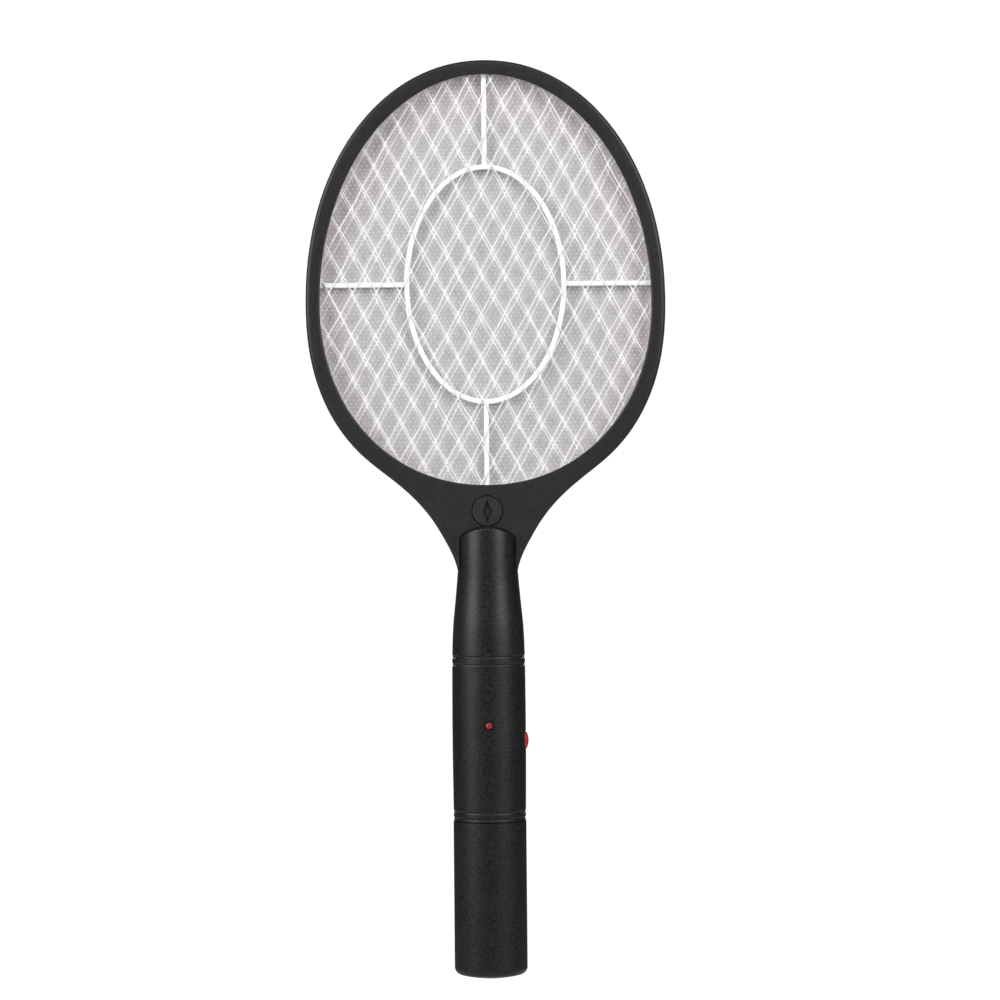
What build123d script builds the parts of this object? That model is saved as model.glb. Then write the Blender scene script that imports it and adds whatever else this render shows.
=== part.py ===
from build123d import *
import os
from math import asin, cos, degrees, radians, sin, sqrt

# Electric fly swatter, in millimetres. Z runs up the handle towards the head, the front
# faces -Y, the button is on +X. The origin is on the handle's axis, level with the button.

# ---- driving dimensions ----
head_widest = 209.9      # height of the widest line of the head
head_half = 86.2         # half of the head's width
head_up = 116.2          # from the widest line to the top of the head
head_down = 94.0         # from the widest line to where the lower curve would close
ring_wall = 6.7          # width of the frame's ring, seen from the front
head_depth = 7.0         # half of the head's thickness
opening_powers = (2.0, 2.1)  # upper and lower curve of the net opening: 2 is an ellipse, more is fuller
frame_powers = (2.08, 2.25)  # the same of the frame's outer curve

lip_depth = 4.4          # the frame's lips start this far from the middle plane
pocket_margin = 4.0      # the clamping pocket reaches this far past the opening
stack_margin = 3.5       # the nets and spacers reach this far past the opening
net_thick = 0.8
spacer_inner = 0.4       # a spacer starts this far from the middle plane
centre_net_half = 0.2    # half the thickness of the charged net

cell_width = 11.2        # coarse net's diamonds
cell_height = 20.3
strand = 1.0             # width of a strand
front_shift = (-2.2, 5.2)  # where the front lattice starts, across and up
rear_shift = (-1.5, 1.7)

oval_half = 38.9         # the white oval
oval_up = 57.5
oval_centre = 218.8
bar = 2.4                # width of the oval and the spokes

waist = 81.7             # where the frame's neck meets the handle
waist_half = 14.4
tongue_base = 94.9       # the handle's tongues are straight up to here
tongue_rise = 7.0        # height of their arched ends above that
tongue_half = 13.3       # half of the arch's width
tongue_edge = 0.8        # rounding of the arch's edge
tongue_seat = 6.2        # a tongue rests this far from the middle plane
tongue_gap = 0.9         # groove round a tongue
badge_height = 110.0
badge_pocket = 7.6
badge_radius = 7.1
badge_depth = 1.2

wall = 2.0
handle_end = -38.3       # lower end of the two handle shells
handle_profile = [
    (waist_half, waist), (15.0, 74.5), (15.75, 66.5), (16.75, 56.5), (17.3, 46.0),
    (17.6, 26.0), (17.6, -12.0), (17.3, handle_end),
]
grooves = ((40.4, 17.43), (36.6, 17.50), (-34.0, 17.36), (-37.1, 17.32))  # height, and the radius there
groove_radius = 1.1      # of a groove's rounded floor
groove_depth = 0.32
seam = 0.3               # depth of the fine groove where the handle's halves meet

sleeve_radius = 17.5
sleeve_inner = 15.5
sleeve_top = -38.65
sleeve_tip = -114.0
sleeve_dome = 60.0       # radius of the gently domed end
sleeve_edge = 3.6        # rounding between the dome and the wall
sleeve_floor = -111.3

button_radius = 4.4
button_hole = 4.7
button_dome = 9.0        # radius of the button's domed face
button_face = 18.9       # how far out the button stands
lamp_height = 7.8
lamp_radius = 1.75

board_front = 2.0        # the board's component side
board_thick = 1.6
board_low = -20.0
board_high = 46.0
wire = 0.8               # radius of the insulated leads

cell_radius = 7.1
cell_offset = 7.35       # each cell's axis is this far from the handle's axis
cradle_radius = 15.15
cradle_back = 9.3
plug_top = -28.0
plug_face = -46.0        # lower face of the plug, behind the contacts
cradle_end = -104.0      # upper face of the cradle's end wall
plate = 0.5              # thickness of contacts

tongue_screw = 90.0      # height of the screw that holds the frame's tang
handle_screws_at = ((tongue_screw, 14.4), (52.0, 17.0), (-24.0, 17.5))  # with the handle's radius there
frame_screw_side = 13.5
frame_screw_height = 108.0
screw_shank = 1.25
screw_play = 0.15        # clearance round a shank
screw_head = 2.8
screw_seat = 1.5         # depth of a screw's seat below the outer surface
boss = 2.9


# ---- shared helpers ----
def box(x, y, z):
    """A box from three (low, high) pairs."""
    size = (x[1] - x[0], y[1] - y[0], z[1] - z[0])
    middle = ((x[0] + x[1]) / 2, (y[0] + y[1]) / 2, (z[0] + z[1]) / 2)
    return Pos(*middle) * Box(*size)


def rod(start, end, radius):
    """A round rod between two points."""
    axis = Vector(*end) - Vector(*start)
    base = Plane(origin=start, z_dir=axis)
    return extrude(base * Circle(radius), amount=axis.length)


def slab(face, low, high):
    """A flat outline in X and Z, extruded between two Y values."""
    return extrude(Plane.XZ.offset(-high) * face, amount=high - low, dir=(0, -1, 0))


def mirror_y(shape):
    return mirror(shape, about=Plane.XZ)


def egg_point(angle, margin, powers=opening_powers):
    """A point of the egg outline; margin is measured outwards from the net opening."""
    across = head_half - ring_wall + margin
    side = head_up if angle > 0 else head_down
    along = side - ring_wall + margin
    c = cos(radians(angle))
    s = sin(radians(angle))
    shape = 2 / powers[0 if angle > 0 else 1]
    x = across * abs(c) ** shape * (1 if c > 0 else -1)
    z = along * abs(s) ** shape * (1 if s > 0 else -1)
    return (x, head_widest + z)


def egg(margin):
    points = [egg_point(step * 10 - 175, margin) for step in range(36)]
    return make_face(Spline(*points, periodic=True))


def frame_outline():
    """The egg running into the neck, down to the waist."""
    right = [(waist_half, waist), (16.1, 87.5), (20.3, 96.1), (26.1, 105.7), (33.9, 115.2), (44.2, 124.5)]
    right += [egg_point(angle, ring_wall, frame_powers) for angle in range(-50, 90, 10)]
    left = [(-x, z) for x, z in reversed(right)]
    side = Spline(*right, egg_point(90, ring_wall, frame_powers), *left)
    return make_face([side, Line(side @ 1, side @ 0)])


def handle_form(inset, rings=()):
    """The handle's form with arched tongues, drawn in by inset, with grooves turned at the rings."""
    top = tongue_base + tongue_rise - inset + 1
    crown = Line((0, top), (waist_half - inset, top))
    neck = Line(crown @ 1, (waist_half - inset, waist))
    side = Spline(*[(radius - inset, height) for radius, height in handle_profile])
    floor = Line(side @ 1, (0, handle_end))
    core = Line((0, handle_end), crown @ 0)
    profile = make_face([crown, neck, side, floor, core])
    for height, radius in rings:
        profile -= Pos(radius + groove_radius - groove_depth, height) * Circle(groove_radius)
    body = revolve(Plane.XZ * profile, axis=Axis.Z)
    half = tongue_half - inset
    arch = EllipticalCenterArc((0, tongue_base), half, tongue_rise - inset, arc_size=180)
    foot = Polyline(arch @ 1, (-half, waist - 1), (half, waist - 1), arch @ 0)
    tongue = slab(make_face(arch.edges() + foot.edges()), -20, 20)
    return body & (tongue + box((-20, 20), (-20, 20), (-50, waist)))


def screw(x, z, head_face, tip):
    """A pan head screw along Y, driven from the rear."""
    head = rod((x, head_face, z), (x, head_face + 1.4, z), screw_head)
    head = fillet(head.edges().group_by(Axis.Y)[-1], 0.6)
    cross = box((x - 1.6, x + 1.6), (head_face + 0.7, head_face + 2), (z - 0.3, z + 0.3))
    cross += box((x - 0.3, x + 0.3), (head_face + 0.7, head_face + 2), (z - 1.6, z + 1.6))
    return head - cross + rod((x, tip, z), (x, head_face, z), screw_shank)


# ---- head ----
def frame_half():
    """One half of the black frame, made as the front one: ring, hollow neck and tang."""
    body = slab(frame_outline() - egg(0), -head_depth, 0)
    face = body.faces().sort_by(Axis.Y)[0]
    body = fillet(face.outer_wire().edges().filter_by(GeomType.LINE, reverse=True), 2.0)
    face = body.faces().sort_by(Axis.Y)[0]
    body = fillet(face.inner_wires()[0].edges(), 0.9)
    body += box((-8, 8), (-head_depth + 0.8, 0), (62, waist + 1))
    body -= slab(egg(pocket_margin), -lip_depth, 0)
    body -= handle_form(-tongue_gap) & box((-30, 30), (-30, -tongue_seat), (waist, 110))
    hollow = make_face(Polyline((-9, 87), (-25, 112), (25, 112), (9, 87), close=True))
    body -= slab(hollow, -lip_depth, 0)
    body -= box((-6, 6), (-lip_depth, 0), (60, 121))
    for side in (-1, 1):
        body += rod((side * frame_screw_side, -head_depth + 1.5, frame_screw_height),
                    (side * frame_screw_side, 0, frame_screw_height), boss)
    return body


def front_frame():
    body = frame_half()
    pocket_floor = -head_depth + badge_depth
    body -= rod((0, -head_depth - 1, badge_height), (0, pocket_floor, badge_height), badge_pocket)
    body -= rod((0, -20, tongue_screw), (0, 1, tongue_screw), screw_shank + screw_play)
    for side in (-1, 1):
        body -= rod((side * frame_screw_side, -4.2, frame_screw_height),
                    (side * frame_screw_side, 1, frame_screw_height), screw_shank)
    return body


def rear_frame():
    body = mirror_y(frame_half())
    body -= rod((0, 20, tongue_screw), (0, -1, tongue_screw), screw_shank + screw_play)
    for side in (-1, 1):
        x = side * frame_screw_side
        body -= rod((x, -1, frame_screw_height), (x, 9, frame_screw_height), screw_shank + screw_play)
        body -= rod((x, head_depth - 2.2, frame_screw_height), (x, 9, frame_screw_height), screw_head + 0.3)
    return body


def neck_badge():
    """Round disc in the neck with a plain diamond cut through it."""
    floor = -head_depth + badge_depth
    body = rod((0, -head_depth + 0.1, badge_height), (0, floor, badge_height), badge_radius)
    body = fillet(body.edges().group_by(Axis.Y)[0], 0.3)
    diamond = make_face(Polyline((0, 5.4), (2.4, 0), (0, -5.4), (-2.4, 0), close=True))
    return body - slab(Pos(0, badge_height) * diamond, -head_depth, floor + 1)


def coarse_net(shift, middle):
    """Sheet of large diamonds with a solid rim under the frame's lip."""
    slant = sqrt(cell_width ** 2 + cell_height ** 2)
    inradius = cell_width * cell_height / 2 / slant
    keep = (inradius - strand / 2) / inradius
    half = cell_width / 2 * keep
    tall = cell_height / 2 * keep
    diamond = make_face(Polyline((half, 0), (0, tall), (-half, 0), (0, -tall), close=True))
    places = []
    for row in range(-12, 13):
        for column in range(-9, 10):
            x = shift[0] + (column + row % 2 / 2) * cell_width
            z = shift[1] + head_widest + row * cell_height / 2
            places.append((x, z))
    holes = Sketch() + [Pos(x, z) * diamond for x, z in places]
    sheet = egg(stack_margin) - (holes & egg(0.5))
    return slab(sheet, middle - net_thick / 2, middle + net_thick / 2)


def centre_net():
    return slab(egg(stack_margin), -centre_net_half, centre_net_half)


def spacer():
    """White ring, oval and spokes in front of the charged net."""
    low = -lip_depth + net_thick
    rim = egg(stack_margin) - egg(0.8)
    oval = Pos(0, oval_centre) * (Ellipse(oval_half, oval_up) - Ellipse(oval_half - bar, oval_up - bar))
    spokes = Pos(0, oval_centre) * (Rectangle(300, bar) + Rectangle(bar, 400))
    spokes -= Pos(0, oval_centre) * Ellipse(oval_half - bar / 2, oval_up - bar / 2)
    return slab(rim + oval + (spokes & egg(stack_margin)), low, -spacer_inner)


# ---- handle shells ----
def handle_half():
    """One half of the handle's tube, made as the front one, with tongue and grooves."""
    body = handle_form(0, grooves)
    arches = body.edges().filter_by_position(Axis.Z, tongue_base, 200)
    outer = arches.filter_by(lambda edge: abs(edge.center().Y) > tongue_seat + 1)
    body = fillet(outer, tongue_edge) - handle_form(wall)
    body &= box((-30, 30), (-30, 0), (-50, 120))
    body -= box((-30, 30), (-tongue_seat, 1), (waist, 120))
    groove = (handle_form(-1) - handle_form(seam)) & box((-30, 30), (-seam / 2, 1), (-50, 120))
    return body - groove


def screw_boss(height, outer, meet):
    """A boss along Y from where the halves meet into the tube's wall."""
    side = 1 if meet >= 0 else -1
    post = rod((0, meet, height), (0, side * 20, height), boss)
    return post & (Pos(0, 0, height) * Cylinder(outer - 1.2, 20))


def front_handle():
    body = handle_half()
    for height, outer in handle_screws_at:
        body += screw_boss(height, outer, -tongue_seat if height > waist else -0.2)
        body -= rod((0, -11, height), (0, 0, height), screw_shank)
    body -= rod((12, 0, 0), (20, 0, 0), button_hole)
    body -= rod((0, -20, lamp_height), (0, -12, lamp_height), lamp_radius + 0.15)
    body -= rod((0, -20, lamp_height), (0, -17.2, lamp_height), lamp_radius + 0.9)
    return body


def rear_handle():
    body = mirror_y(handle_half())
    for height, outer in handle_screws_at:
        body += screw_boss(height, outer, tongue_seat if height > waist else 0)
        body -= rod((0, -1, height), (0, 20, height), screw_shank + screw_play)
        body -= rod((0, outer - screw_seat, height), (0, 20, height), screw_head + 0.3)
    for height in (-14, 36):
        rib = box((-14, 14), (board_front + board_thick, 16), (height - 0.8, height + 0.8))
        body += rib & (Pos(0, 0, height) * Cylinder(15.9, 20))
    body -= rod((12, 0, 0), (20, 0, 0), button_hole)
    return body


def handle_screws():
    screws = [screw(0, height, outer - screw_seat, -10) for height, outer in handle_screws_at]
    return Compound(children=screws)


def frame_screws():
    sides = (-frame_screw_side, frame_screw_side)
    return Compound(children=[screw(x, frame_screw_height, head_depth - 2.2, -4) for x in sides])


def push_button():
    """Round domed button with a flange inside the shells, turned about X; it slides along X."""
    turn = degrees(asin(button_radius / button_dome))
    dome = CenterArc((button_face - button_dome, 0), button_dome, start_angle=0, arc_size=turn)
    back = Polyline(dome @ 1, (13.9, button_radius), (13.9, 6.0), (13.2, 6.0), (13.2, 0), dome @ 0)
    profile = make_face(dome.edges() + back.edges())
    profile = fillet(profile.vertices().sort_by_distance(dome @ 1)[0], 0.6)
    return revolve(profile, axis=Axis.X)


def indicator_lamp():
    """Round-topped lamp through the front shell, with a flange behind it."""
    body = rod((0, -13, lamp_height), (0, -16.9, lamp_height), lamp_radius)
    body += Pos(0, -16.9, lamp_height) * Sphere(lamp_radius)
    return body + rod((0, -13, lamp_height), (0, -14.2, lamp_height), lamp_radius + 0.45)


# ---- electronics ----
def circuit_board():
    body = box((-12, 10.8), (board_front, board_front + board_thick), (board_low, board_high))
    return fillet(body.edges().filter_by(Axis.Y), 1.0)


def transformer_core():
    body = box((-6, 6), (-9.5, 0.5), (22, 35))
    for side in (-1, 1):
        x = sorted((side * 2.0, side * 4.6))
        body -= box(x, (-10, 1), (24.4, 32.6))
    return body


def transformer_coil():
    body = box((-4.5, 4.5), (-10.6, 1.6), (24.6, 32.4))
    body = fillet(body.edges().filter_by(Axis.Z), 1.2)
    body -= box((-2, 2), (-9.5, 0.5), (24, 33))
    corners = [(x, z) for x in (-3, 3) for z in (26, 31)]
    return body + [box((x - 0.4, x + 0.4), (1.6, board_front), (z - 0.4, z + 0.4)) for x, z in corners]


def output_capacitor():
    body = box((-11.4, -1.6), (-6.5, 0.8), (9.2, 19))
    body = fillet(body.edges(), 0.8)
    pins = [box((x - 0.3, x + 0.3), (0.8, board_front), (13.8, 14.4)) for x in (-9.5, -3.5)]
    return body + pins


def multiplier_capacitors():
    discs = []
    for height in (3.0, -3.0, -9.0):
        disc = rod((-7.5, -2.0, height - 1.2), (-7.5, -2.0, height + 1.2), 3.3)
        disc = fillet(disc.edges(), 0.7)
        tall = (height - 0.3, height + 0.3)
        discs.append(disc + [box((x - 0.3, x + 0.3), (0.0, board_front), tall) for x in (-9, -6)])
    return Compound(children=discs)


def axial_part(x, height, length, radius):
    """A small cylinder along X on two bent legs."""
    body = rod((x - length / 2, -0.2, height), (x + length / 2, -0.2, height), radius)
    body = fillet(body.edges(), 0.3)
    body += rod((x - length, -0.2, height), (x + length, -0.2, height), 0.35)
    for end in (x - length + 0.35, x + length - 0.35):
        body += box((end - 0.35, end + 0.35), (-0.55, board_front), (height - 0.3, height + 0.3))
    return body


def rectifier_diodes():
    return Compound(children=[axial_part(0.5, height, 3.4, 1.3) for height in (-8.0, -12.5, -17.0)])


def resistors():
    return Compound(children=[axial_part(-2.0, height, 5.0, 1.2) for height in (37.0, 40.2)])


def switching_transistor():
    body = rod((4, -4.6, 14), (4, -0.4, 14), 2.4) & box((1, 7), (-6, 0), (12.4, 17))
    return body + [box((x - 0.3, x + 0.3), (-0.4, board_front), (13.7, 14.3)) for x in (2.8, 4, 5.2)]


def switch_case():
    body = box((4.6, 11.4), (-3.2, board_front), (-3.4, 3.4))
    body = fillet(body.edges().group_by(Axis.Y)[0], 0.5)
    return body - rod((8.4, 0, 0), (12, 0, 0), 1.5)


def switch_plunger():
    body = rod((9.9, 0, 0), (13.0, 0, 0), 1.2)
    return fillet(body.edges().group_by(Axis.X)[-1], 0.3)


def lamp_leads():
    wires = [rod((x, -13, lamp_height), (x, board_front, lamp_height), 0.25) for x in (-0.64, 0.64)]
    return Compound(children=wires)


def charged_net_lead():
    return rod((-4.2, board_front - wire, 42), (-4.2, board_front - wire, 114.6), wire)


def earth_net_lead():
    return rod((4.2, board_front - wire, 42), (4.2, board_front - wire, 113), wire)


def net_terminals():
    """One tab for the charged net, and a strap joining the two outer nets."""
    top = egg_point(-90, stack_margin)[1]
    charged = box((-5.4, -3.0), (-centre_net_half, centre_net_half), (115, top))
    charged += box((-5.4, -3.0), (-centre_net_half, 2.0), (114.6, 115))
    strap = box((3.2, 5.2), (-lip_depth, lip_depth), (113, 113.8))
    for side in (-1, 1):
        y = sorted((side * lip_depth, side * (lip_depth - net_thick)))
        strap += box((3.2, 5.2), y, (113, top))
    return Compound(children=[charged, strap])


# ---- battery bay ----
def battery_cradle():
    """Plug in the handle's end, a trough behind the two cells, and an end wall."""
    plug = Pos(0, 0, (plug_top + plug_face) / 2) * Cylinder(cradle_radius, plug_top - plug_face)
    plug = chamfer(plug.edges().group_by(Axis.Z)[-1], 0.6)
    plug -= Pos(0, 0, plug_top) * Cylinder(cradle_radius - 1.8, 2 * (plug_top - plug_face - 2))
    trough = Pos(0, 0, (plug_face + cradle_end) / 2) * Cylinder(cradle_radius, plug_face - cradle_end)
    trough &= box((-20, 20), (0.5, cradle_back), (-120, 0))
    for side in (-1, 1):
        trough -= rod((side * cell_offset, 0, -120), (side * cell_offset, 0, 0), cell_radius + 0.2)
    trough -= box((-cell_offset, cell_offset), (0, 4), (-120, 0))
    end = Pos(0, 0, cradle_end - 1) * Cylinder(cradle_radius, 2.0)
    end &= box((-20, 20), (-7.2, cradle_back), (-120, 0))
    body = plug + trough + end
    for side in (-1, 1):
        body -= rod((side * 5.5, board_front - wire, -50), (side * 5.5, board_front - wire, -20), wire + 0.3)
    return body


def battery_cells():
    """Two AA cells side by side, the left one with its positive end up."""
    cells = []
    for side, low, nub in ((-1, -97.0, 1), (1, -102.5, -1)):
        x = side * cell_offset
        body = rod((x, 0, low), (x, 0, low + 49.5), cell_radius)
        body = fillet(body.edges(), 0.5)
        tip = low + 49.5 if nub > 0 else low
        cells.append(body + rod((x, 0, tip), (x, 0, tip + nub * 1.0), 2.7))
    return Compound(children=cells)


def battery_contacts():
    """Two flat plates on the plug's lower face."""
    plates = []
    for side in (-1, 1):
        x = sorted((side * 3.6, side * 11.2))
        plates.append(box(x, (-5.5, 5.5), (plug_face - plate, plug_face)))
    return Compound(children=plates)


def coil_spring(x, low, high):
    """A round-wire compression spring with its ends just clear of the two faces."""
    radius = 0.4
    height = high - low - 2 * radius
    path = Helix(pitch=height / 4, height=height, radius=3.6)
    section = Plane(origin=path @ 0, z_dir=path % 0) * Circle(radius)
    return Pos(x, 0, low + radius) * sweep(section, path=path, is_frenet=True)


def battery_springs():
    lower = coil_spring(-cell_offset, cradle_end + plate, -97.0)
    upper = coil_spring(cell_offset, -53.0, plug_face - plate)
    return Compound(children=[lower, upper])


def battery_bridge():
    return box((-11.2, 11.2), (-5.5, 3.8), (cradle_end, cradle_end + plate))


def battery_leads():
    y = board_front - wire
    leads = [rod((side * 5.5, y, plug_face), (side * 5.5, y, board_low + 4), wire) for side in (-1, 1)]
    return Compound(children=leads)


def tail_sleeve():
    """Round cap that slides over the cells, closed and gently domed at its end."""
    turn = degrees(asin(sleeve_radius / sleeve_dome))
    dome = CenterArc((0, sleeve_tip + sleeve_dome), sleeve_dome, start_angle=-90, arc_size=turn)
    side = Line(dome @ 1, (sleeve_radius, sleeve_top))
    lid = Line(side @ 1, (0, sleeve_top))
    core = Line(lid @ 1, dome @ 0)
    profile = make_face([dome, side, lid, core])
    profile = fillet(profile.vertices().sort_by_distance(dome @ 1)[0], sleeve_edge)
    body = revolve(Plane.XZ * profile, axis=Axis.Z)
    depth = sleeve_top - sleeve_floor
    bay = Pos(0, 0, sleeve_floor + depth / 2) * Cylinder(sleeve_inner, depth)
    bay = fillet(bay.edges().group_by(Axis.Z)[0], 1.5)
    return body - bay


# ---- write every piece ----
pieces = {
    "front_frame": front_frame(),
    "rear_frame": rear_frame(),
    "front_net": coarse_net(front_shift, -lip_depth + net_thick / 2),
    "rear_net": coarse_net(rear_shift, lip_depth - net_thick / 2),
    "centre_net": centre_net(),
    "front_spacer": spacer(),
    "rear_spacer": mirror_y(spacer()),
    "neck_badge": neck_badge(),
    "front_handle": front_handle(),
    "rear_handle": rear_handle(),
    "tail_sleeve": tail_sleeve(),
    "push_button": push_button(),
    "indicator_lamp": indicator_lamp(),
    "circuit_board": circuit_board(),
    "transformer_core": transformer_core(),
    "transformer_coil": transformer_coil(),
    "output_capacitor": output_capacitor(),
    "multiplier_capacitors": multiplier_capacitors(),
    "rectifier_diodes": rectifier_diodes(),
    "switching_transistor": switching_transistor(),
    "resistors": resistors(),
    "switch_case": switch_case(),
    "switch_plunger": switch_plunger(),
    "lamp_leads": lamp_leads(),
    "charged_net_lead": charged_net_lead(),
    "earth_net_lead": earth_net_lead(),
    "net_terminals": net_terminals(),
    "battery_cradle": battery_cradle(),
    "battery_cells": battery_cells(),
    "battery_contacts": battery_contacts(),
    "battery_springs": battery_springs(),
    "battery_bridge": battery_bridge(),
    "battery_leads": battery_leads(),
    "handle_screws": handle_screws(),
    "frame_screws": frame_screws(),
}

os.makedirs("parts", exist_ok=True)
for name, piece in pieces.items():
    export_step(piece, f"parts/{name}.step")
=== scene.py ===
import math

import bmesh
import bpy
from mathutils import Matrix, Vector


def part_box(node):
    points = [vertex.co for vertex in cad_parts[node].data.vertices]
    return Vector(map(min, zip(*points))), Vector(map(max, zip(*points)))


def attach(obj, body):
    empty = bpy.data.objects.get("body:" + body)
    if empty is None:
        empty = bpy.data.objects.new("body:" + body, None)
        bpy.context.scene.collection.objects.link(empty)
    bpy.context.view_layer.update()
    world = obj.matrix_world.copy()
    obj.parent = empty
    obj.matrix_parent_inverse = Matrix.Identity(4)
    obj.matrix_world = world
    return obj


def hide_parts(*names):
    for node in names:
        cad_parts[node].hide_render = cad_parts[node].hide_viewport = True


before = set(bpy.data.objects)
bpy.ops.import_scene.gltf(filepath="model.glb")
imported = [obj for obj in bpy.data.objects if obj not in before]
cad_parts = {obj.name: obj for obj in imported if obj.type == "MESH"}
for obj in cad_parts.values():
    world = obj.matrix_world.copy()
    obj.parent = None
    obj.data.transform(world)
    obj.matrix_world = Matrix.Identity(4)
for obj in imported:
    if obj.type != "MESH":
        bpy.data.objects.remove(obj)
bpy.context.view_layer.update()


# ---- Studio: camera, floor and lights ----
# The racket hangs upright in front of a plain white sweep. Two tall softboxes in front give the
# handle its two long soft highlights, a weak one above fills in, and two behind light the back.
camera_distance = 1.777
view_width = 0.48035
view_centre = (0.00615, 0.1153)   # across and up
camera_roll = math.radians(-0.5)
sensor_width = 36                 # millimetres
backdrop_glow = 1.05              # as the camera sees it
ambient_light = 0.07              # what the backdrop gives the object
light_aim = (0, 0, 0.12)
floor_height = -0.52
floor_half = 12                   # half of the floor's side

camera_data = bpy.data.cameras.new("camera")
camera_data.sensor_width = sensor_width
camera_data.lens = sensor_width * camera_distance / view_width
camera_data.clip_end = 50
camera = bpy.data.objects.new("camera", camera_data)
bpy.context.scene.collection.objects.link(camera)
camera.matrix_world = (
    Matrix.Translation((view_centre[0], -camera_distance, view_centre[1]))
    @ Matrix.Rotation(math.radians(90), 4, "X")
    @ Matrix.Rotation(camera_roll, 4, "Z")
)
bpy.context.scene.camera = camera
bpy.context.scene.view_settings.view_transform = "Standard"
bpy.context.scene.view_settings.look = "None"


def node(tree, kind, inputs=None, **settings):
    """A new node with its settings, and its inputs given as values or as sockets to link."""
    made = tree.nodes.new(kind)
    for key, value in settings.items():
        setattr(made, key, value)
    for key, value in (inputs or {}).items():
        if isinstance(value, bpy.types.NodeSocket):
            tree.links.new(value, made.inputs[key])
        else:
            made.inputs[key].default_value = value
    return made


def white_sweep(camera_strength, light_strength):
    """World that looks white behind the object, and lights it more dimly."""
    world = bpy.data.worlds.new("white_sweep")
    world.use_nodes = True
    tree = world.node_tree
    tree.nodes.clear()
    seen = node(tree, "ShaderNodeBackground", {"Color": (1, 1, 1, 1), "Strength": camera_strength})
    light = node(tree, "ShaderNodeBackground", {"Color": (1, 1, 1, 1), "Strength": light_strength})
    path = node(tree, "ShaderNodeLightPath")
    mix = node(tree, "ShaderNodeMixShader", {
        0: path.outputs["Is Camera Ray"], 1: light.outputs[0], 2: seen.outputs[0],
    })
    node(tree, "ShaderNodeOutputWorld", {"Surface": mix.outputs[0]})
    return world


def softbox(name, place, size, watts, aim=light_aim):
    """A rectangular studio light turned towards a point, unseen by the camera."""
    data = bpy.data.lights.new(name, "AREA")
    data.shape = "RECTANGLE"
    data.size, data.size_y = size
    data.energy = watts
    lamp = bpy.data.objects.new(name, data)
    bpy.context.scene.collection.objects.link(lamp)
    lamp.location = place
    lamp.rotation_euler = (Vector(aim) - Vector(place)).to_track_quat("-Z", "Y").to_euler()
    lamp.visible_camera = False


bpy.context.scene.world = white_sweep(backdrop_glow, ambient_light)
softbox("softbox_left", place=(-1.29, -0.84, 0.72), size=(0.9, 1.2), watts=26)
softbox("softbox_right", place=(1.12, -1.00, 0.72), size=(0.8, 1.1), watts=20)
softbox("softbox_top", place=(0.0, -1.10, 1.60), size=(1.2, 0.7), watts=6, aim=(0, 0, 0.2))
softbox("softbox_back_left", place=(-0.42, 1.55, 0.8), size=(0.5, 0.9), watts=15)
softbox("softbox_back_right", place=(0.42, 1.55, 0.8), size=(0.5, 0.9), watts=15)

floor_mesh = bpy.data.meshes.new("floor")
floor_signs = ((-1, -1), (1, -1), (1, 1), (-1, 1))
floor_corners = [(x * floor_half, y * floor_half, floor_height) for x, y in floor_signs]
floor_mesh.from_pydata(floor_corners, [], [(0, 1, 2, 3)])
floor = bpy.data.objects.new("floor", floor_mesh)
bpy.context.scene.collection.objects.link(floor)
floor_look = bpy.data.materials.new("floor_paper")
floor_look.use_nodes = True
floor_tree = floor_look.node_tree
floor_shader = floor_tree.nodes["Principled BSDF"]
floor_shader.inputs["Base Color"].default_value = (0.5, 0.5, 0.5, 1)
floor_shader.inputs["Roughness"].default_value = 0.9
floor_shader.inputs["Specular IOR Level"].default_value = 0.1
floor_shader.inputs["Emission Color"].default_value = (1, 1, 1, 1)
floor_path = node(floor_tree, "ShaderNodeLightPath")
floor_tree.links.new(floor_path.outputs["Is Camera Ray"], floor_shader.inputs["Emission Strength"])
floor_mesh.materials.append(floor_look)


# ---- Frame: two black halves with the neck ----
# Two egg-shaped shells of black ABS, moulded with a fine satin texture and screwed together round
# the nets. Their necks run down into the handle.
def bare_material(name):
    """A material holding only a principled shader and its output."""
    look = bpy.data.materials.new(name)
    look.use_nodes = True
    tree = look.node_tree
    tree.nodes.clear()
    shader = node(tree, "ShaderNodeBsdfPrincipled")
    node(tree, "ShaderNodeOutputMaterial", {"Surface": shader.outputs[0]})
    return look, tree, shader


def maths(tree, operation, first, second=0.0):
    """The output of a Math node on two values or sockets."""
    return node(tree, "ShaderNodeMath", {0: first, 1: second}, operation=operation).outputs[0]


def mapped_noise(tree, size, detail=3.0, stretch=(1, 1, 1)):
    """Noise on the piece's own coordinates; size is the size of its blotches in metres."""
    place = node(tree, "ShaderNodeTexCoord")
    turn = node(tree, "ShaderNodeMapping", {"Vector": place.outputs["Object"], "Scale": stretch})
    noise = node(tree, "ShaderNodeTexNoise", {"Vector": turn.outputs[0], "Scale": 1 / size, "Detail": detail})
    return noise.outputs["Fac"]


def between(tree, factor, low, high):
    """A value running from low to high over the span that noise mostly keeps to."""
    made = node(tree, "ShaderNodeMapRange", {
        "Value": factor, "From Min": 0.3, "From Max": 0.7, "To Min": low, "To Max": high,
    })
    return made.outputs[0]


def tone(tree, factor, dark, light):
    """A colour running from dark to light over the span that noise mostly keeps to."""
    ramp = node(tree, "ShaderNodeValToRGB", {"Fac": factor})
    for stop, position, colour in zip(ramp.color_ramp.elements, (0.32, 0.68), (dark, light)):
        stop.position = position
        stop.color = (*colour, 1)
    return ramp.outputs["Color"]


def blend_noise(tree, coarse, fine, fine_share=0.7):
    """Two noises added, the finer one counting for more."""
    coarse_part = maths(tree, "MULTIPLY", coarse, 1 - fine_share)
    return maths(tree, "ADD", coarse_part, maths(tree, "MULTIPLY", fine, fine_share))


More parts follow.
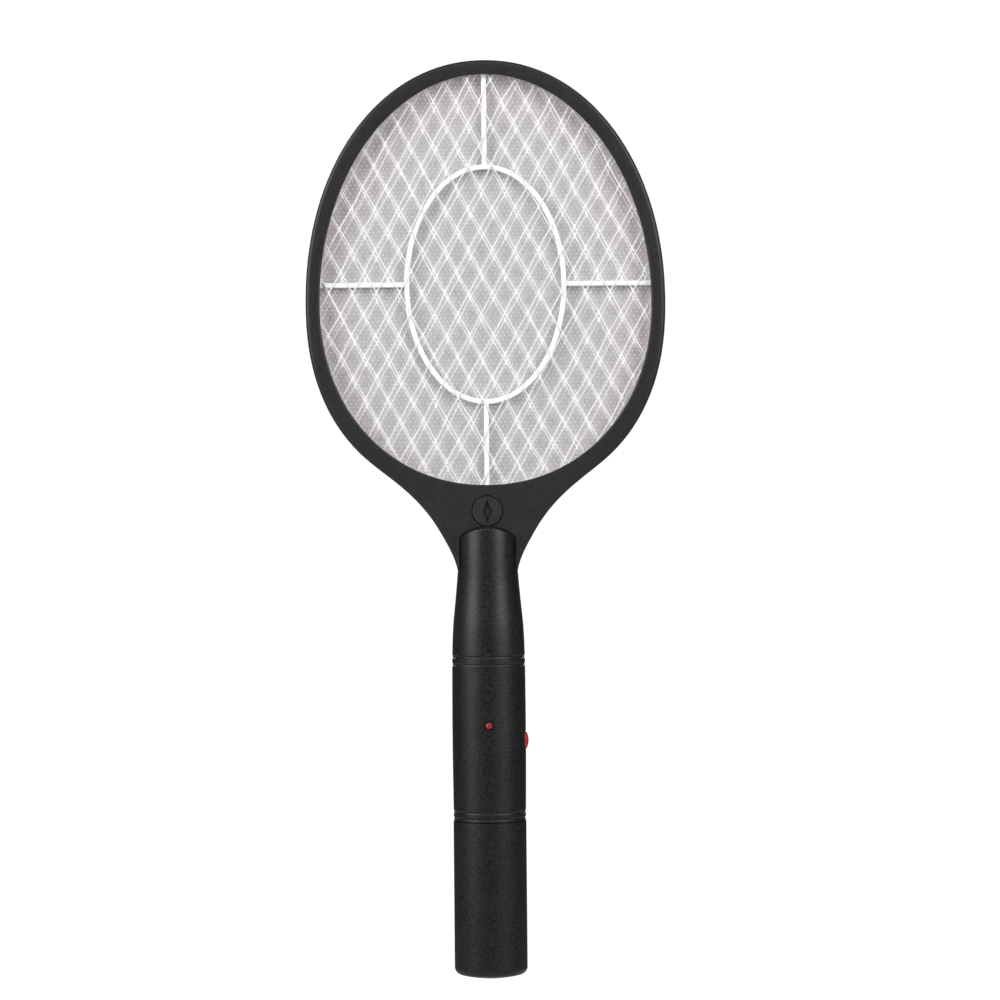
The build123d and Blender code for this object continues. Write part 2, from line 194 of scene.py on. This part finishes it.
def bumps(tree, shader, *layers):
    """Bump layers, each (height socket, distance in metres, strength)."""
    normal = None
    for height, distance, strength in layers:
        made = node(tree, "ShaderNodeBump", {"Height": height, "Distance": distance, "Strength": strength})
        if normal is not None:
            tree.links.new(normal, made.inputs["Normal"])
        normal = made.outputs[0]
    tree.links.new(normal, shader.inputs["Normal"])


def moulded_plastic(name, dark, light, roughness, grain, depth, gloss=0.4):
    """Moulded plastic with grain of the given size and depth, faint mottling and uneven sheen."""
    patch_size = 0.018
    ripple_size = 0.006
    look, tree, shader = bare_material(name)
    fine = mapped_noise(tree, grain, 2.0)
    mottle = blend_noise(tree, mapped_noise(tree, patch_size, 4.0), fine)
    tree.links.new(tone(tree, mottle, dark, light), shader.inputs["Base Color"])
    tree.links.new(between(tree, fine, roughness - 0.07, roughness + 0.08), shader.inputs["Roughness"])
    shader.inputs["Specular IOR Level"].default_value = gloss
    bumps(tree, shader, (fine, depth, 0.6), (mapped_noise(tree, ripple_size, 2.0), depth * 2, 0.15))
    return look


def dress(name, look):
    """Gives a CAD node its material, and shades its round faces smoothly up to an edge."""
    same_point = 0.000004
    edge_angle = math.radians(32)
    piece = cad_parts[name]
    piece.data.materials.clear()
    piece.data.materials.append(look)
    piece.data.polygons.foreach_set("use_smooth", [True] * len(piece.data.polygons))
    weld = piece.modifiers.new("weld", "WELD")
    weld.merge_threshold = same_point
    split = piece.modifiers.new("split", "EDGE_SPLIT")
    split.split_angle = edge_angle


frame_plastic = moulded_plastic(
    "frame_plastic", dark=(0.013, 0.013, 0.014), light=(0.026, 0.026, 0.027),
    roughness=0.42, grain=0.0006, depth=0.00003, gloss=0.3,
)
# The badge is the frame's own black plastic painted a little lighter, so the frame seen through its cut-out
# motif reads darker: painted light and shade, not a different plastic.
badge_plastic_painted_lighter = moulded_plastic(
    "badge_plastic_painted_lighter", dark=(0.020, 0.020, 0.021), light=(0.032, 0.032, 0.033),
    roughness=0.42, grain=0.0006, depth=0.00003, gloss=0.3,
)
for name in ("front_frame", "rear_frame"):
    dress(name, frame_plastic)
dress("neck_badge", badge_plastic_painted_lighter)


# ---- Nets: two coarse earthed nets and the fine charged net ----
# Slit and stretched sheet metal, matte and pale: thin strands meet at knots in long diamonds. The
# outer nets are coarse and bright. The charged one between them is a fine grey mesh on a coarse
# bright grid. Their rims are held under the frame's lips.
net_low, net_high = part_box("centre_net")
net_widest = 0.2099      # height of the widest line of the egg outline
upper_power = 2.0        # shape of the outline's upper curve: 2 is an ellipse, more is fuller
lower_power = 2.1
rim_width = 0.0031
knot_swell = 1.1         # a knot's thickness over a strand's
coarse_cell = (0.0112, 0.0203)
coarse_strand = (0.00056, 0.0007)
coarse_knot = (0.00115, 0.0022)
waviness = 0.0024        # how far the stretched sheets wander from even diamonds
wave_size = 0.022
fine_cell = (0.00226, 0.00375)
fine_strand = (0.0016, 0.0003)
fine_knot = (0.0, 0.0)   # none: the fine strands are wide enough to close on each other
front_shift = (0.0034, 0.00013)
rear_shift = (0.0041, -0.00338)


def egg_reach(tree, across, up, group):
    """How far out a point is: 1 on the net's outline, more outside it."""
    upper = maths(tree, "GREATER_THAN", up, 0.0)
    rise = maths(tree, "MULTIPLY", upper, group["Rise"])
    drop = maths(tree, "MULTIPLY", maths(tree, "SUBTRACT", 1.0, upper), group["Drop"])
    u = maths(tree, "DIVIDE", maths(tree, "ABSOLUTE", across), group["Half Width"])
    v = maths(tree, "DIVIDE", maths(tree, "ABSOLUTE", up), maths(tree, "ADD", rise, drop))
    power = maths(tree, "SUBTRACT", lower_power, maths(tree, "MULTIPLY", upper, lower_power - upper_power))
    total = maths(tree, "ADD", maths(tree, "POWER", u, power), maths(tree, "POWER", v, power))
    return maths(tree, "POWER", total, maths(tree, "DIVIDE", 1.0, power))


def strand_geometry(tree, group, side):
    """One strand from a knot at the origin up to its neighbour on the left or right."""
    width, height = group["Cell Width"], group["Cell Height"]
    length = maths(tree, "MULTIPLY", 0.5, maths(tree, "SQRT", maths(
        tree, "ADD", maths(tree, "POWER", width, 2.0), maths(tree, "POWER", height, 2.0))))
    rod = node(tree, "GeometryNodeMeshCylinder", {
        "Vertices": group["Sides"], "Side Segments": group["Segments"], "Radius": 1.0, "Depth": length,
    })
    scale = node(tree, "ShaderNodeCombineXYZ", {
        0: maths(tree, "MULTIPLY", group["Strand Width"], 0.5),
        1: maths(tree, "MULTIPLY", group["Strand Depth"], 0.5),
        2: 1.0,
    })
    flat = node(tree, "GeometryNodeTransform", {"Geometry": rod.outputs["Mesh"], "Scale": scale.outputs[0]})
    lean = maths(tree, "MULTIPLY", maths(tree, "ARCTAN2", width, height), side)
    turn = node(tree, "ShaderNodeCombineXYZ", {0: 0.0, 1: lean, 2: 0.0})
    middle = node(tree, "ShaderNodeCombineXYZ", {
        0: maths(tree, "MULTIPLY", width, 0.25 * side), 1: 0.0, 2: maths(tree, "MULTIPLY", height, 0.25),
    })
    return node(tree, "GeometryNodeTransform", {
        "Geometry": flat.outputs[0], "Rotation": turn.outputs[0], "Translation": middle.outputs[0],
    }).outputs[0]


def net_tree():
    """Node tree that fills the egg outline with diamonds."""
    tree = bpy.data.node_groups.new("expanded_net", "GeometryNodeTree")
    floats = ("Cell Width", "Cell Height", "Strand Width", "Strand Depth", "Knot Width", "Knot Height",
              "Shift Across", "Shift Up", "Half Width", "Rise", "Drop", "Widest Height", "Layer", "Waviness")
    for label in floats:
        tree.interface.new_socket(name=label, in_out="INPUT", socket_type="NodeSocketFloat")
    for label in ("Sides", "Segments", "Columns", "Rows"):
        tree.interface.new_socket(name=label, in_out="INPUT", socket_type="NodeSocketInt")
    tree.interface.new_socket(name="Finish", in_out="INPUT", socket_type="NodeSocketMaterial")
    tree.interface.new_socket(name="Geometry", in_out="OUTPUT", socket_type="NodeSocketGeometry")
    group = node(tree, "NodeGroupInput").outputs

    count = maths(tree, "MULTIPLY", group["Columns"], group["Rows"])
    index = node(tree, "GeometryNodeInputIndex").outputs[0]
    row = maths(tree, "FLOOR", maths(tree, "DIVIDE", index, group["Columns"]))
    column = maths(tree, "SUBTRACT", index, maths(tree, "MULTIPLY", row, group["Columns"]))
    odd = maths(tree, "MULTIPLY", maths(tree, "FLOORED_MODULO", row, 2.0), 0.5)
    from_middle = maths(tree, "SUBTRACT", column, maths(tree, "MULTIPLY", group["Columns"], 0.5))
    across = maths(tree, "MULTIPLY", maths(tree, "ADD", from_middle, odd), group["Cell Width"])
    across = maths(tree, "ADD", across, group["Shift Across"])
    up = maths(tree, "SUBTRACT", row, maths(tree, "MULTIPLY", group["Rows"], 0.5))
    up = maths(tree, "MULTIPLY", maths(tree, "MULTIPLY", up, 0.5), group["Cell Height"])
    up = maths(tree, "ADD", up, group["Shift Up"])
    place = node(tree, "ShaderNodeCombineXYZ", {0: across, 1: 0.0, 2: up})
    points = node(tree, "GeometryNodePoints", {"Count": count, "Position": place.outputs[0]})
    spot = node(tree, "ShaderNodeSeparateXYZ", {0: node(tree, "GeometryNodeInputPosition").outputs[0]})
    centre_up = maths(tree, "ADD", spot.outputs[2], maths(tree, "MULTIPLY", group["Cell Height"], 0.25))
    outside = maths(tree, "GREATER_THAN", egg_reach(tree, spot.outputs[0], centre_up, group), 1.0)
    kept = node(tree, "GeometryNodeDeleteGeometry", {"Geometry": points.outputs[0], "Selection": outside})

    knot = node(tree, "GeometryNodeMeshCylinder", {
        "Vertices": group["Sides"], "Side Segments": 1, "Radius": 1.0, "Depth": 1.0,
    })
    knot_scale = node(tree, "ShaderNodeCombineXYZ", {
        0: maths(tree, "MULTIPLY", group["Knot Width"], 0.5),
        1: maths(tree, "MULTIPLY", group["Strand Depth"], knot_swell / 2),
        2: group["Knot Height"],
    })
    knot = node(tree, "GeometryNodeTransform", {
        "Geometry": knot.outputs["Mesh"], "Scale": knot_scale.outputs[0],
    })
    has_knot = maths(tree, "GREATER_THAN", group["Knot Width"], 0.0)
    knot = node(tree, "GeometryNodeSwitch", {
        "Switch": has_knot, "True": knot.outputs[0],
    }, input_type="GEOMETRY")
    joined = node(tree, "GeometryNodeJoinGeometry")
    for piece in (strand_geometry(tree, group, 1), strand_geometry(tree, group, -1), knot.outputs[0]):
        tree.links.new(piece, joined.inputs[0])
    spread = node(tree, "GeometryNodeInstanceOnPoints", {
        "Points": kept.outputs[0], "Instance": joined.outputs[0],
    })
    real = node(tree, "GeometryNodeRealizeInstances", {"Geometry": spread.outputs[0]})

    seed = maths(tree, "MULTIPLY", group["Shift Up"], 1000.0)
    wave = node(tree, "ShaderNodeTexNoise", {
        "W": seed, "Scale": 1 / wave_size, "Detail": 1.0,
    }, noise_dimensions="4D")
    split = node(tree, "ShaderNodeSeparateXYZ", {0: wave.outputs["Color"]})
    centred = [maths(tree, "SUBTRACT", split.outputs[k], 0.5) for k in (0, 1)]
    drift = [maths(tree, "MULTIPLY", value, group["Waviness"]) for value in centred]
    offset = node(tree, "ShaderNodeCombineXYZ", {0: drift[0], 1: 0.0, 2: drift[1]})
    real = node(tree, "GeometryNodeSetPosition", {"Geometry": real.outputs[0], "Offset": offset.outputs[0]})

    reach = maths(tree, "MAXIMUM", egg_reach(tree, spot.outputs[0], spot.outputs[2], group), 1.0)
    trimmed = node(tree, "ShaderNodeCombineXYZ", {
        0: maths(tree, "DIVIDE", spot.outputs[0], reach),
        1: maths(tree, "ADD", spot.outputs[1], group["Layer"]),
        2: maths(tree, "ADD", maths(tree, "DIVIDE", spot.outputs[2], reach), group["Widest Height"]),
    })
    settled = node(tree, "GeometryNodeSetPosition", {
        "Geometry": real.outputs[0], "Position": trimmed.outputs[0],
    })
    painted = node(tree, "GeometryNodeSetMaterial", {
        "Geometry": settled.outputs[0], "Material": group["Finish"],
    })
    node(tree, "NodeGroupOutput", {0: painted.outputs[0]})
    return tree


def egg_path(margin, count=120):
    """Points across and up on the net's outline, moved outwards by margin."""
    points = []
    for step in range(count):
        angle = 2 * math.pi * (step + 0.5) / count
        c, s = math.cos(angle), math.sin(angle)
        half = net_high.x + margin
        tall = (net_high.z - net_widest if s > 0 else net_widest - net_low.z) + margin
        shape = 2 / (upper_power if s > 0 else lower_power)
        x = half * math.copysign(abs(c) ** shape, c)
        z = tall * math.copysign(abs(s) ** shape, s)
        points.append((x, net_widest + z))
    return points


def bar_section(width, depth, rounding, steps=3):
    """Outline of a bar with rounded edges, as pairs across and deep."""
    points = []
    for corner, (sx, sy) in enumerate(((1, 1), (-1, 1), (-1, -1), (1, -1))):
        for step in range(steps + 1):
            angle = math.pi / 2 * (corner + step / steps)
            points.append((
                sx * (width / 2 - rounding) + rounding * math.cos(angle),
                sy * (depth / 2 - rounding) + rounding * math.sin(angle),
            ))
    return points


def add_bar(mesh, path, section, layer, closed):
    """Runs a section along a path in the net's plane, and closes its ends."""
    rings = []
    total = len(path)
    for index, (x, z) in enumerate(path):
        before = path[index - 1] if index or closed else path[index]
        after = path[(index + 1) % total] if index < total - 1 or closed else path[index]
        along = Vector((after[0] - before[0], after[1] - before[1])).normalized()
        outward = Vector((along.y, -along.x))
        rings.append([
            mesh.verts.new((x + outward.x * across, layer + deep, z + outward.y * across))
            for across, deep in section
        ])
    pairs = list(zip(rings, rings[1:])) + ([(rings[-1], rings[0])] if closed else [])
    size = len(section)
    for first, second in pairs:
        for k in range(size):
            mesh.faces.new((first[k], first[(k + 1) % size], second[(k + 1) % size], second[k]))
    if not closed:
        mesh.faces.new(rings[0][::-1])
        mesh.faces.new(rings[-1])


def piece_from(mesh, name, look, smooth_angle=40):
    """A finished object from a bmesh: faces outwards, smooth where the surface turns gently."""
    bmesh.ops.recalc_face_normals(mesh, faces=mesh.faces)
    data = bpy.data.meshes.new(name)
    mesh.to_mesh(data)
    mesh.free()
    data.materials.append(look)
    data.polygons.foreach_set("use_smooth", [True] * len(data.polygons))
    data.set_sharp_from_angle(angle=math.radians(smooth_angle))
    piece = bpy.data.objects.new(name, data)
    bpy.context.scene.collection.objects.link(piece)
    return piece


expanded_net = net_tree()


def net_mesh(layer, cell, strand, knot, shift, shape, look):
    """One layer of diamonds from the node tree, as a plain mesh; shape is a strand's sides and segments."""
    inset = 0.0006                 # the lattice stops this far inside the net's outline
    host = bpy.data.objects.new("net_host", bpy.data.meshes.new("net_host"))
    bpy.context.scene.collection.objects.link(host)
    fill = host.modifiers.new("net", "NODES")
    fill.node_group = expanded_net
    values = {
        "Cell Width": cell[0], "Cell Height": cell[1], "Strand Width": strand[0], "Strand Depth": strand[1],
        "Knot Width": knot[0], "Knot Height": knot[1], "Shift Across": shift[0], "Shift Up": shift[1],
        "Half Width": net_high.x - inset, "Rise": net_high.z - net_widest - inset,
        "Drop": net_widest - net_low.z - inset, "Widest Height": net_widest, "Layer": layer,
        "Waviness": waviness, "Sides": shape[0], "Segments": shape[1],
        "Columns": 2 * math.ceil(net_high.x / cell[0]) + 3,
        "Rows": 4 * math.ceil((net_high.z - net_widest) / cell[1]) + 5, "Finish": look,
    }
    for item in expanded_net.interface.items_tree:
        if item.in_out == "INPUT":
            fill[item.identifier] = values[item.name]
    graph = bpy.context.evaluated_depsgraph_get()
    data = bpy.data.meshes.new_from_object(host.evaluated_get(graph), depsgraph=graph)
    bpy.data.objects.remove(host)
    mesh = bmesh.new()
    mesh.from_mesh(data)
    return mesh


def net_piece(name, cad_name, lattice, rim):
    """One net of diamonds, with or without the flat rim under the frame's lips."""
    low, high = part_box(cad_name)
    layer = (low.y + high.y) / 2
    mesh = net_mesh(layer, *lattice)
    if rim:
        depth = high.y - low.y
        add_bar(mesh, egg_path(-rim_width / 2), bar_section(rim_width, depth, depth * 0.2, 1), layer, True)
    piece = piece_from(mesh, name, lattice[-1])
    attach(piece, "racket")
    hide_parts(cad_name)


def net_metal(name, dark, light, roughness):
    """Oxidised metal with fine drag marks along the slits and a slightly cloudy surface."""
    cloud_size = 0.004
    mark_size = 0.0006
    mark_depth = 0.00002
    look, tree, shader = bare_material(name)
    marks = mapped_noise(tree, mark_size, 2.0, stretch=(1, 1, 0.25))
    mottle = blend_noise(tree, mapped_noise(tree, cloud_size, 3.0), marks)
    tree.links.new(tone(tree, mottle, dark, light), shader.inputs["Base Color"])
    tree.links.new(between(tree, marks, roughness - 0.1, roughness + 0.1), shader.inputs["Roughness"])
    bumps(tree, shader, (marks, mark_depth, 0.5))
    return look


def warm_edge(look, blush):
    """Lets a net's metal turn faintly warm towards its rim, in uneven patches."""
    warm_from, warm_full = 0.8, 1.15      # of the way from the middle to the rim
    patch_size = 0.03
    tree = look.node_tree
    shader = next(item for item in tree.nodes if item.type == "BSDF_PRINCIPLED")
    metal = shader.inputs["Base Color"].links[0].from_socket
    place = node(tree, "ShaderNodeTexCoord")
    spot = node(tree, "ShaderNodeSeparateXYZ", {0: place.outputs["Object"]})
    across = maths(tree, "DIVIDE", spot.outputs[0], net_high.x)
    up = maths(tree, "DIVIDE", maths(tree, "SUBTRACT", spot.outputs[2], net_widest), net_high.z - net_widest)
    squares = [maths(tree, "MULTIPLY", value, value) for value in (across, up)]
    reach = maths(tree, "SQRT", maths(tree, "ADD", *squares))
    patch = maths(tree, "MULTIPLY", mapped_noise(tree, patch_size, 2.0), 0.3)
    edge = node(tree, "ShaderNodeMapRange", {
        "Value": maths(tree, "ADD", reach, patch), "From Min": warm_from, "From Max": warm_full,
    })
    warm = node(tree, "ShaderNodeMix", {
        0: edge.outputs[0], "A": metal, "B": (*blush, 1),
    }, data_type="RGBA", blend_type="MULTIPLY")
    tree.links.new(warm.outputs[2], shader.inputs["Base Color"])


bright_net = net_metal("bright_net", dark=(0.74, 0.74, 0.75), light=(0.92, 0.92, 0.92), roughness=0.45)
grey_net = net_metal("grey_net", dark=(0.43, 0.428, 0.432), light=(0.59, 0.587, 0.592), roughness=0.5)
warm_edge(grey_net, blush=(1.07, 0.95, 0.945))
front_lattice = (coarse_cell, coarse_strand, coarse_knot, front_shift, (8, 4), bright_net)
rear_lattice = (coarse_cell, coarse_strand, coarse_knot, rear_shift, (8, 4), bright_net)
fine_lattice = (fine_cell, fine_strand, fine_knot, (0, 0), (4, 1), grey_net)
net_piece("front_net_wire", "front_net", front_lattice, True)
net_piece("rear_net_wire", "rear_net", rear_lattice, True)
net_piece("charged_net_wire", "centre_net", fine_lattice, True)
net_piece("charged_net_grid", "centre_net", rear_lattice, False)


# ---- Spacers: white ring, oval and four spokes on each side of the charged net ----
# One white moulding each, a rim with an oval on four spokes. They keep the outer nets off the
# charged one, and their rims are clamped in the frame with the nets.
oval_centre = 0.2188
oval_half = 0.0389       # half of its width, to the outside
oval_tall = 0.0575       # half of its height
bar_width = 0.0024
bar_rounding = 0.0005
rim_rounding = 0.0003
rim_bar_width = 0.0026
rim_bar_inset = 0.0014   # of the rim's middle, from the net's outline
spoke_overlap = 0.0015   # spokes end this far inside the net's box, within the rim
spoke_fit = (0.98, 0.97)   # a spoke's width and depth over the oval's, so that no two faces coincide


def white_moulding():
    """White polystyrene, faintly uneven and a little glossy."""
    cloud_size = 0.012
    grain_size = 0.0005
    look, tree, shader = bare_material("white_moulding")
    cloud = mapped_noise(tree, cloud_size, 3.0)
    fine = mapped_noise(tree, grain_size, 2.0)
    tree.links.new(tone(tree, cloud, (0.90, 0.90, 0.89), (0.95, 0.95, 0.95)), shader.inputs["Base Color"])
    tree.links.new(between(tree, fine, 0.35, 0.5), shader.inputs["Roughness"])
    bumps(tree, shader, (fine, 0.00001, 0.4))
    return look


white_plastic = white_moulding()


def oval_path(half, tall, count=96):
    """Points across and up along the middle of the oval's bar."""
    angles = [2 * math.pi * step / count for step in range(count)]
    return [(half * math.cos(angle), oval_centre + tall * math.sin(angle)) for angle in angles]


def spacer_piece(name, cad_name):
    """One moulding: rim, oval and spokes, as thick as its CAD node."""
    low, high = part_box(cad_name)
    layer = (low.y + high.y) / 2
    depth = high.y - low.y
    half = oval_half - bar_width / 2
    tall = oval_tall - bar_width / 2
    mesh = bmesh.new()
    add_bar(mesh, egg_path(-rim_bar_inset), bar_section(rim_bar_width, depth, rim_rounding), layer, True)
    add_bar(mesh, oval_path(half, tall), bar_section(bar_width, depth, bar_rounding), layer, True)
    spoke = bar_section(bar_width * spoke_fit[0], depth * spoke_fit[1], bar_rounding)
    ends = (
        ((-half, oval_centre), (-net_high.x + spoke_overlap, oval_centre)),
        ((half, oval_centre), (net_high.x - spoke_overlap, oval_centre)),
        ((0, oval_centre + tall), (0, net_high.z - spoke_overlap)),
        ((0, oval_centre - tall), (0, net_low.z + spoke_overlap)),
    )
    for path in ends:
        add_bar(mesh, path, spoke, layer, False)
    piece = piece_from(mesh, name, white_plastic)
    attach(piece, "racket")
    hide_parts(cad_name)


spacer_piece("front_spider", "front_spacer")
spacer_piece("rear_spider", "rear_spacer")


# ---- Handle: two half shells and the pull-off tail sleeve ----
# Black ABS with a fine spark-eroded grain for grip. The halves are screwed together from the back,
# and the sleeve slides over the cells below them.
grip_plastic = moulded_plastic(
    "grip_plastic", dark=(0.002, 0.002, 0.0025), light=(0.014, 0.014, 0.015),
    roughness=0.42, grain=0.0009, depth=0.00010, gloss=0.36,
)
for name in ("front_handle", "rear_handle", "tail_sleeve"):
    dress(name, grip_plastic)


# ---- Push button ----
# Round domed button of red ABS with a smooth satin face. It slides in a hole on the line where the
# two shells meet.
button_plastic = moulded_plastic(
    "button_plastic", dark=(0.40, 0.020, 0.018), light=(0.50, 0.03, 0.027),
    roughness=0.3, grain=0.0006, depth=0.00001, gloss=0.5,
)
dress("push_button", button_plastic)


# ---- Indicator lamp ----
# A small lamp of red tinted epoxy, cloudy inside, pushed into the front shell from behind. Its rim
# keeps it from coming through.
def tinted_epoxy():
    """Red epoxy that lets a little light in."""
    cloud_size = 0.002
    look, tree, shader = bare_material("tinted_epoxy")
    cloud = mapped_noise(tree, cloud_size, 2.0)
    tree.links.new(tone(tree, cloud, (0.22, 0.008, 0.008), (0.34, 0.02, 0.02)), shader.inputs["Base Color"])
    shader.inputs["Roughness"].default_value = 0.34
    shader.inputs["Coat Weight"].default_value = 0.1
    shader.inputs["Subsurface Weight"].default_value = 0.2
    shader.inputs["Subsurface Radius"].default_value = (0.002, 0.0004, 0.0004)
    return look


dress("indicator_lamp", tinted_epoxy())


# ---- Screws, contacts and springs ----
# Zinc-plated pan head screws driven from the back, and nickel-plated steel contacts, springs and
# terminals in the battery bay and on the nets.
def plated_metal(name, dark, light, roughness):
    """Plated steel with fine scratches."""
    scratch_size = 0.0005
    scratch_depth = 0.000008
    cloud_size = 0.003
    look, tree, shader = bare_material(name)
    scratch = mapped_noise(tree, scratch_size, 3.0, stretch=(1, 1, 8))
    cloud = mapped_noise(tree, cloud_size, 3.0)
    tree.links.new(tone(tree, cloud, dark, light), shader.inputs["Base Color"])
    tree.links.new(between(tree, scratch, roughness - 0.1, roughness + 0.12), shader.inputs["Roughness"])
    shader.inputs["Metallic"].default_value = 1.0
    bumps(tree, shader, (scratch, scratch_depth, 0.5))
    return look


screw_metal = plated_metal("screw_metal", (0.42, 0.42, 0.43), (0.60, 0.60, 0.60), 0.35)
nickel_plate = plated_metal("nickel_plate", (0.52, 0.50, 0.46), (0.68, 0.66, 0.62), 0.28)
for name in ("handle_screws", "frame_screws"):
    dress(name, screw_metal)
for name in ("battery_contacts", "battery_springs", "battery_bridge", "net_terminals", "lamp_leads"):
    dress(name, nickel_plate)


# ---- Battery cradle and cells ----
# Black moulded trough that plugs into the handle's end. Two AA cells with plain printed jackets,
# dark with a copper band at the positive end, lie in it side by side.
cradle_plastic = moulded_plastic(
    "cradle_plastic", dark=(0.018, 0.018, 0.019), light=(0.026, 0.026, 0.027),
    roughness=0.5, grain=0.0006, depth=0.00003,
)
dress("battery_cradle", cradle_plastic)


def cell_jacket():
    """Printed sleeve: dark barrel, copper band and bare steel nub, by height on each cell.

    The cell on the right stands the other way up.
    """
    band_length = 0.0145           # from the positive end
    nub_length = 0.0016
    scuff_size = 0.004
    look, tree, shader = bare_material("cell_jacket")
    low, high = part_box("battery_cells")
    place = node(tree, "ShaderNodeTexCoord")
    spot = node(tree, "ShaderNodeSeparateXYZ", {0: place.outputs["Object"]})
    right = maths(tree, "GREATER_THAN", spot.outputs[0], 0.0)
    height = maths(tree, "SUBTRACT", spot.outputs[2], low.z)
    span = high.z - low.z
    flipped = maths(tree, "SUBTRACT", span, height)
    left_part = maths(tree, "MULTIPLY", height, maths(tree, "SUBTRACT", 1.0, right))
    from_negative = maths(tree, "ADD", left_part, maths(tree, "MULTIPLY", flipped, right))
    copper = maths(tree, "GREATER_THAN", from_negative, span - band_length)
    steel = maths(tree, "GREATER_THAN", from_negative, span - nub_length)
    scuff = mapped_noise(tree, scuff_size, 4.0)
    barrel = tone(tree, scuff, (0.010, 0.012, 0.014), (0.020, 0.022, 0.026))
    band = tone(tree, scuff, (0.50, 0.22, 0.10), (0.62, 0.30, 0.14))
    bare = tone(tree, scuff, (0.55, 0.55, 0.55), (0.70, 0.70, 0.70))
    first = node(tree, "ShaderNodeMix", {0: copper, "A": barrel, "B": band}, data_type="RGBA")
    second = node(tree, "ShaderNodeMix", {0: steel, "A": first.outputs[2], "B": bare}, data_type="RGBA")
    tree.links.new(second.outputs[2], shader.inputs["Base Color"])
    tree.links.new(copper, shader.inputs["Metallic"])
    tree.links.new(between(tree, scuff, 0.22, 0.36), shader.inputs["Roughness"])
    bumps(tree, shader, (scuff, 0.00002, 0.3))
    return look


dress("battery_cells", cell_jacket())


# ---- Electronics ----
# A brown paper-laminate board with the step-up transformer, capacitors, diodes and switch, and
# the insulated leads to the nets and the cells.
def small_part(name, dark, light, roughness=0.4, gloss=0.5):
    """Moulded or dipped body of a small component."""
    return moulded_plastic(name, dark, light, roughness, 0.0004, 0.00001, gloss)


component_looks = {
    "circuit_board": small_part("board_laminate", (0.22, 0.13, 0.04), (0.30, 0.19, 0.07), 0.55),
    "transformer_core": small_part("ferrite", (0.03, 0.03, 0.032), (0.05, 0.05, 0.052), 0.6),
    "transformer_coil": small_part("coil_tape", (0.60, 0.46, 0.05), (0.72, 0.58, 0.09), 0.35),
    "output_capacitor": small_part("film_capacitor", (0.16, 0.03, 0.012), (0.22, 0.05, 0.02), 0.2),
    "multiplier_capacitors": small_part("ceramic_capacitor", (0.02, 0.09, 0.32), (0.04, 0.13, 0.42), 0.25),
    "rectifier_diodes": small_part("diode_body", (0.012, 0.012, 0.012), (0.03, 0.03, 0.03)),
    "switching_transistor": small_part("transistor_body", (0.012, 0.012, 0.012), (0.03, 0.03, 0.03)),
    "resistors": small_part("resistor_body", (0.50, 0.34, 0.17), (0.62, 0.44, 0.24), 0.25),
    "switch_case": small_part("switch_body", (0.02, 0.02, 0.02), (0.035, 0.035, 0.035)),
    "switch_plunger": small_part("plunger_body", (0.70, 0.70, 0.68), (0.80, 0.80, 0.78)),
    "charged_net_lead": small_part("red_insulation", (0.42, 0.02, 0.02), (0.52, 0.03, 0.03), 0.4),
    "battery_leads": small_part("lead_insulation", (0.42, 0.02, 0.02), (0.52, 0.03, 0.03), 0.4),
    "earth_net_lead": small_part("black_insulation", (0.015, 0.015, 0.015), (0.03, 0.03, 0.03), 0.4),
}
for name, look in component_looks.items():
    dress(name, look)
